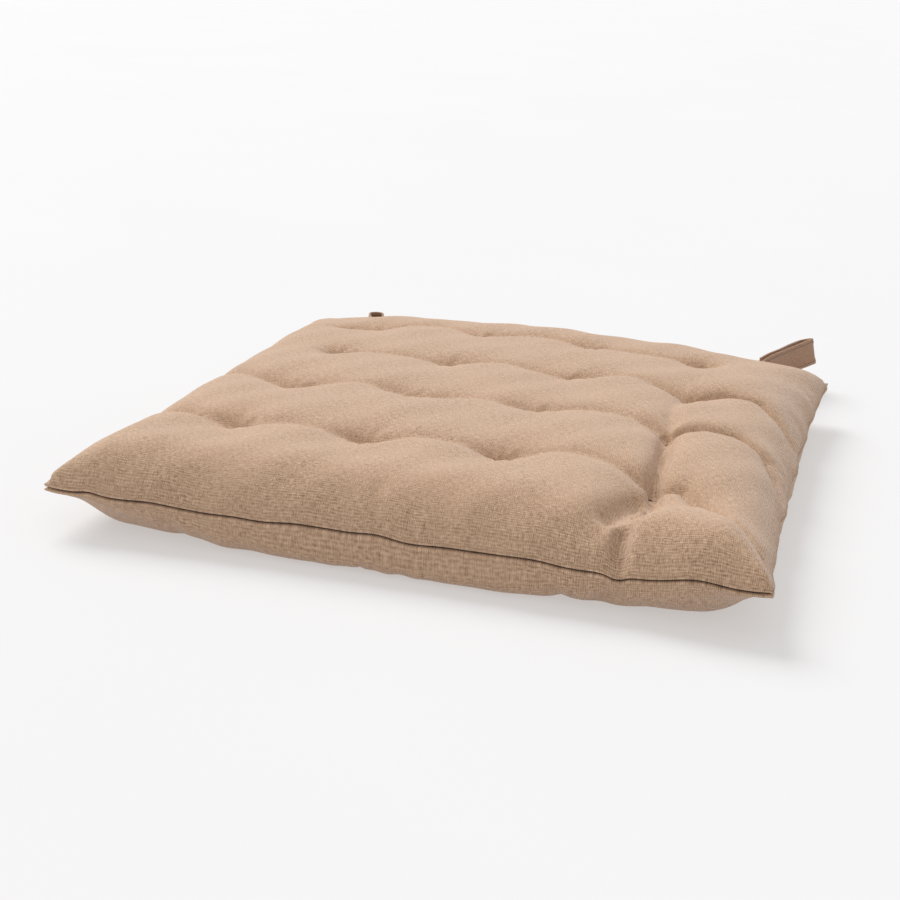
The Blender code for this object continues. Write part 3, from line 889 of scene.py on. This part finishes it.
def make_band(strap, part, stations, look):
    """One stretch of the folded and hemmed band."""
    name = f"strap_{strap.word}_{part}"
    mesh = bmesh.new()
    layer = mesh.loops.layers.uv.new("cut")
    rings = []
    for middle, across, out, total in stations:
        ring = []
        for face in (1, -1):
            section = BAND_SECTION if face > 0 else BAND_SECTION[::-1]
            for w, thick in section:
                point = mesh.verts.new(middle + across * w + out * (thick * face))
                ring.append((point, w + 0.05 * face, total))
        rings.append(ring)
    for ring, following in zip(rings, rings[1:]):
        for k in range(len(ring)):
            corners = (ring[k - 1], ring[k], following[k], following[k - 1])
            quad = mesh.faces.new([corner[0] for corner in corners])
            for loop, corner in zip(quad.loops, corners):
                loop[layer].uv = (corner[1], corner[2])
    for ring in (rings[0], rings[-1][::-1]):
        end = mesh.faces.new([corner[0] for corner in ring])
        for edge in end.edges:
            edge.smooth = False
    bmesh.ops.recalc_face_normals(mesh, faces=mesh.faces)
    return solid_object(name, mesh, look)


def make_band_stitching(strap, part, stations, tree, look):
    """Two rows of stitches along the hems, on both faces of one stretch of the band."""
    points = []
    edges = []
    for w in (-HEM_STITCH_LINE, HEM_STITCH_LINE):
        for face in (1, -1):
            start = len(points)
            for middle, across, out, _ in stations:
                points.append(middle + across * w + out * (HEM_STITCH_STAND * face))
            edges += chain(len(points) - start, start)
    sizes = {"Spacing": 0.0026, "Stitch length": 0.0020, "Thread thickness": 0.0005}
    return grow(f"strap_{strap.word}_{part}_stitching", points, edges, tree, sizes, look)


def make_strap_tail(strap, look):
    """The strap's end inside the seam, held between the two panels."""
    name = f"strap_{strap.word}_tail"
    mesh = bmesh.new()
    bmesh.ops.create_cube(mesh, size=1.0)
    bmesh.ops.scale(mesh, verts=mesh.verts, vec=(BAND_WIDTH * 0.98, TAIL_DEPTH, 0.0010))
    bmesh.ops.bevel(mesh, geom=list(mesh.edges), offset=0.0004, segments=2, affect="EDGES")
    turn = Matrix.Rotation(math.atan2(-strap.out_of_seam.x, strap.out_of_seam.y), 4, "Z")
    bmesh.ops.transform(mesh, verts=mesh.verts, matrix=turn)
    bmesh.ops.translate(mesh, verts=mesh.verts, vec=strap.root - strap.out_of_seam * TAIL_INSET)
    return solid_object(name, mesh, look)


# Materials

def linear(colour):
    """Linear colour from an sRGB hex value."""
    channels = []
    for start in (0, 2, 4):
        value = int(colour[start:start + 2], 16) / 255
        channels.append(value / 12.92 if value <= 0.04045 else ((value + 0.055) / 1.055) ** 2.4)
    return (*channels, 1.0)


def new_material(name, roughness, sheen):
    look = bpy.data.materials.new(name)
    look.use_nodes = True
    shader = look.node_tree.nodes["Principled BSDF"]
    shader.inputs["Roughness"].default_value = roughness
    shader.inputs["IOR"].default_value = 1.5
    shader.inputs["Specular IOR Level"].default_value = 0.25
    shader.inputs["Sheen Weight"].default_value = sheen
    shader.inputs["Sheen Roughness"].default_value = 0.5
    return look, look.node_tree, shader


def mix_colours(tree, share, first, second, blend="MIX"):
    mixed = add_node(tree, "ShaderNodeMix", data_type="RGBA", blend_type=blend)
    for socket, value in ((0, share), (6, first), (7, second)):
        if isinstance(value, bpy.types.NodeSocket):
            tree.links.new(value, mixed.inputs[socket])
        else:
            mixed.inputs[socket].default_value = value
    return mixed.outputs[2]


def add_relief(tree, shader, height, strength, depth):
    relief = add_node(tree, "ShaderNodeBump", [
        ("Height", height), ("Strength", strength), ("Distance", depth)])
    tree.links.new(relief.outputs["Normal"], shader.inputs["Normal"])


def plain_weave(name, light, dark, warm, spacing, depth):
    """Plain-woven linen-look cloth, dyed in the yarn: matt, with uneven slubby threads both ways.

    Real threads are about 0.5 mm apart; they are drawn up to twice as coarse so that they show.
    """
    look, tree, shader = new_material(name, 0.92, 0.28)
    cut = add_node(tree, "ShaderNodeUVMap", uv_map="cut")
    place = cut.outputs["UV"]
    ripple = add_node(tree, "ShaderNodeTexNoise", [("Vector", place), ("Scale", 260.0), ("Detail", 2.0)])
    shifted = add_node(tree, "ShaderNodeVectorMath", [
        (0, ripple.outputs["Color"]), (1, (spacing * 0.9, spacing * 0.9, 0.0)), (2, place)],
        operation="MULTIPLY_ADD")
    threads = []
    slubs = []
    band_scale = math.pi / 10 / spacing
    for direction, across, along in (("X", 1 / 0.0006, 1 / 0.0030), ("Y", 1 / 0.0006, 1 / 0.0036)):
        wave = add_node(tree, "ShaderNodeTexWave", [
            ("Vector", shifted.outputs["Vector"]), ("Scale", band_scale)],
            wave_type="BANDS", bands_direction=direction, wave_profile="SIN")
        threads.append(wave.outputs["Fac"])
        stretch = (across, along, 1.0) if direction == "X" else (along, across, 1.0)
        stretched = add_node(tree, "ShaderNodeVectorMath", [(0, place), (1, stretch)], operation="MULTIPLY")
        slub = add_node(tree, "ShaderNodeTexNoise", [
            ("Vector", stretched.outputs["Vector"]), ("Scale", 1.0), ("Detail", 2.0), ("Roughness", 0.6)])
        slubs.append(slub.outputs["Fac"])
    weave = add_node(tree, "ShaderNodeMath", [(0, threads[0]), (1, threads[1])], operation="MULTIPLY")
    slubby = add_node(tree, "ShaderNodeMath", [(0, slubs[0]), (1, slubs[1])], operation="ADD")
    spread = add_node(tree, "ShaderNodeMapRange", [
        ("Value", slubby.outputs["Value"]), ("From Min", 0.72), ("From Max", 1.28)])
    woven = add_node(tree, "ShaderNodeMath", [
        (0, weave.outputs["Value"]), (1, 0.60), (2, spread.outputs["Result"])], operation="MULTIPLY_ADD")
    tone = add_node(tree, "ShaderNodeMath", [(0, woven.outputs["Value"]), (1, 0.75)], operation="MULTIPLY")
    colour = mix_colours(tree, tone.outputs["Value"], linear(dark), linear(light))
    cloudy = add_node(tree, "ShaderNodeTexNoise", [("Vector", place), ("Scale", 22.0), ("Detail", 3.0)])
    clouds = add_node(tree, "ShaderNodeMapRange", [
        ("Value", cloudy.outputs["Fac"]), ("From Min", 0.35), ("From Max", 0.7), ("To Max", 0.35)])
    colour = mix_colours(tree, clouds.outputs["Result"], colour, linear(warm))
    tree.links.new(colour, shader.inputs["Base Color"])
    add_relief(tree, shader, woven.outputs["Value"], 0.55, depth)
    return look


def polyester_thread(name, light, dark):
    """Spun sewing thread, twisted: a faint stripe along its turns, drawn at 0.6 mm so that it shows."""
    look, tree, shader = new_material(name, 0.65, 0.05)
    place = add_node(tree, "ShaderNodeTexCoord").outputs["Object"]
    twist = add_node(tree, "ShaderNodeTexWave", [
        ("Vector", place), ("Scale", math.pi / 10 / 0.0006), ("Distortion", 2.0)],
        wave_type="BANDS", bands_direction="DIAGONAL")
    colour = mix_colours(tree, twist.outputs["Fac"], linear(dark), linear(light))
    tree.links.new(colour, shader.inputs["Base Color"])
    add_relief(tree, shader, twist.outputs["Fac"], 0.5, 0.0001)
    return look


def fibre_wadding(name):
    """Carded polyester fibre: white, matt and cloudy, with fine tangled fibres."""
    look, tree, shader = new_material(name, 0.95, 0.3)
    place = add_node(tree, "ShaderNodeTexCoord").outputs["Object"]
    tangle = add_node(tree, "ShaderNodeTexNoise", [
        ("Vector", place), ("Scale", 420.0), ("Detail", 4.0), ("Distortion", 2.5)])
    colour = mix_colours(tree, tangle.outputs["Fac"], linear("D9D6CF"), linear("FBFAF6"))
    tree.links.new(colour, shader.inputs["Base Color"])
    add_relief(tree, shader, tangle.outputs["Fac"], 0.6, 0.0008)
    return look


def fastening_tape(name, hooked):
    """Woven nylon fastening tape: napped loops on one half, rows of stiff hooks on the other."""
    look, tree, shader = new_material(name, 0.85, 0.2)
    place = add_node(tree, "ShaderNodeTexCoord").outputs["Object"]
    if hooked:
        pile = add_node(tree, "ShaderNodeTexVoronoi", [("Vector", place), ("Scale", 700.0)])
        height = pile.outputs["Distance"]
    else:
        pile = add_node(tree, "ShaderNodeTexNoise", [
            ("Vector", place), ("Scale", 900.0), ("Detail", 3.0), ("Distortion", 1.5)])
        height = pile.outputs["Fac"]
    colour = mix_colours(tree, height, linear("5E4A3B"), linear("9C8470"))
    tree.links.new(colour, shader.inputs["Base Color"])
    add_relief(tree, shader, height, 0.8, 0.0004)
    return look


def studio_floor(name):
    """Opal acrylic light table: plain, pale and matt, softly lit from below, so shadows on it stay light."""
    look, tree, shader = new_material(name, 0.9, 0.0)
    place = add_node(tree, "ShaderNodeTexCoord").outputs["Object"]
    mottle = add_node(tree, "ShaderNodeTexNoise", [("Vector", place), ("Scale", 3.0)])
    colour = mix_colours(tree, mottle.outputs["Fac"], linear("999A9B"), linear("9D9E9F"))
    tree.links.new(colour, shader.inputs["Base Color"])
    shader.inputs["Emission Color"].default_value = (1.0, 0.97, 0.96, 1.0)
    shader.inputs["Emission Strength"].default_value = 0.45
    return look


# Studio

def add_camera():
    position = Vector((0.23657, -0.90107, 0.32524))
    right = Vector((0.95609, 0.29048, 0.03900))
    up = Vector((-0.12799, 0.29413, 0.94716))
    back = right.cross(up)
    camera = bpy.data.cameras.new("camera")
    camera.sensor_width = 36
    camera.lens = 61.3
    holder = bpy.data.objects.new("camera", camera)
    turn = Matrix((right, up, back)).transposed().to_4x4()
    holder.matrix_world = Matrix.Translation(position) @ turn
    bpy.context.scene.collection.objects.link(holder)
    bpy.context.scene.camera = holder


def add_stage():
    mesh = bpy.data.meshes.new("floor")
    mesh.from_pydata([(-30, -30, 0), (30, -30, 0), (30, 30, 0), (-30, 30, 0)], [], [(0, 1, 2, 3)])
    mesh.materials.append(studio_floor("opal_acrylic_light_table"))
    add_object("floor", mesh)
    world = bpy.data.worlds.new("studio")
    bpy.context.scene.world = world
    world.use_nodes = True
    world.node_tree.nodes["Background"].inputs["Color"].default_value = (1, 1, 1, 1)
    world.node_tree.nodes["Background"].inputs["Strength"].default_value = 0.75
    sun = bpy.data.lights.new("key", "SUN")
    sun.energy = 2.9
    sun.angle = math.radians(35)
    holder = bpy.data.objects.new("key", sun)
    holder.rotation_euler = Vector((-0.55, 0.45, 0.75)).to_track_quat("Z", "Y").to_euler()
    bpy.context.scene.collection.objects.link(holder)
    bpy.context.scene.view_settings.view_transform = "Standard"


def settle(piece, body, nodes=()):
    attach(piece, body)
    if nodes:
        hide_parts(*nodes)


def make_pad(linen, thread):
    a, b, top, bottom = shape_pad()
    cover_top = make_cover("cover_top", a, b, top, 1, linen)
    cover_bottom = make_cover("cover_bottom", a, b, bottom, -1, linen)
    settle(cover_top, "pad", ["top_panel"])
    settle(cover_bottom, "pad", ["bottom_panel"])
    wadding = fibre_wadding("carded_polyester_wadding")
    sunk = fold_depth(top[..., 0], top[..., 1])[..., None]
    inner_top = top - (0, 0, WADDING_UNDER_TOP) - sunk * (0, 0, 0.5)
    inner_bottom = bottom + (0, 0, WADDING_OVER_BOTTOM)
    between = (inner_top + inner_bottom) / 2
    upper_foot = between + (0, 0, GAP_ABOVE_MIDDLE)
    upper = make_wadding_layer("wadding_upper_layer", upper_foot, inner_top, wadding)
    lower_top = between - (0, 0, GAP_BELOW_MIDDLE)
    lower = make_wadding_layer("wadding_lower_layer", inner_bottom, lower_top, wadding)
    settle(upper, "pad", ["wadding_upper"])
    settle(lower, "pad", ["wadding_lower"])
    rows = stitch_row_tree(thread)
    edge, gap = make_seam_stitches(a, b, top, bottom, rows, thread)
    settle(edge, "pad", ["edge_seam_thread"])
    settle(gap, "pad", ["closing_seam_thread"])
    ties = make_tuft_ties(top, bottom, tuft_tie_tree(thread), thread)
    settle(ties, "pad", [f"tuft_tie_r{mark[0]}_c{mark[1]}" for mark in tuft_marks()])
    return rows


def make_strap(word, rows, painted_shade_band_look, thread, loops, hooks):
    strap = Strap(word)
    stations = strap.frames()
    root_part, loop_part = stations[:ROOT_STATIONS], stations[ROOT_STATIONS - 1:]
    root_band = make_band(strap, "root_band", root_part, painted_shade_band_look)
    root_stitching = make_band_stitching(strap, "root", root_part, rows, thread)
    for piece, slot in ((root_band, "band"), (root_stitching, "thread")):
        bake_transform(piece)
    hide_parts(f"strap_{word}_sewn_run")
    loop_band = make_band(strap, "loop_band", loop_part, painted_shade_band_look)
    loop_stitching = make_band_stitching(strap, "loop", loop_part, rows, thread)
    for piece, slot in ((loop_band, "band"), (loop_stitching, "thread")):
        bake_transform(piece)
    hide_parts(f"strap_{word}_free_run")
    tail = make_strap_tail(strap, painted_shade_band_look)
    settle(tail, "pad")
    frame["nodes"][f"strap_{word}_loop_tape"].material_slots[0].material = loops
    frame["nodes"][f"strap_{word}_hook_tape"].material_slots[0].material = hooks


add_camera()
add_stage()
linen = plain_weave("yarn_dyed_linen_look_weave", "D8B799", "84634A", "BF9E82", 0.0010, 0.0004)
# The band's colours are a darker copy of the linen's. That darkening is painted shade for the strap, whose
# face turns down away from the key light.
painted_shade_band_look = plain_weave("folded_linen_look_band_with_painted_shade", "B28B6D", "805D44", "A57F62", 0.0009, 0.0004)
thread = polyester_thread("spun_polyester_thread", "6A4B39", "3E2A1F")
rows = make_pad(linen, thread)
loops = fastening_tape("napped_nylon_loop_tape", False)
hooks = fastening_tape("moulded_nylon_hook_tape", True)
for word in ("right", "left"):
    make_strap(word, rows, painted_shade_band_look, thread, loops, hooks)
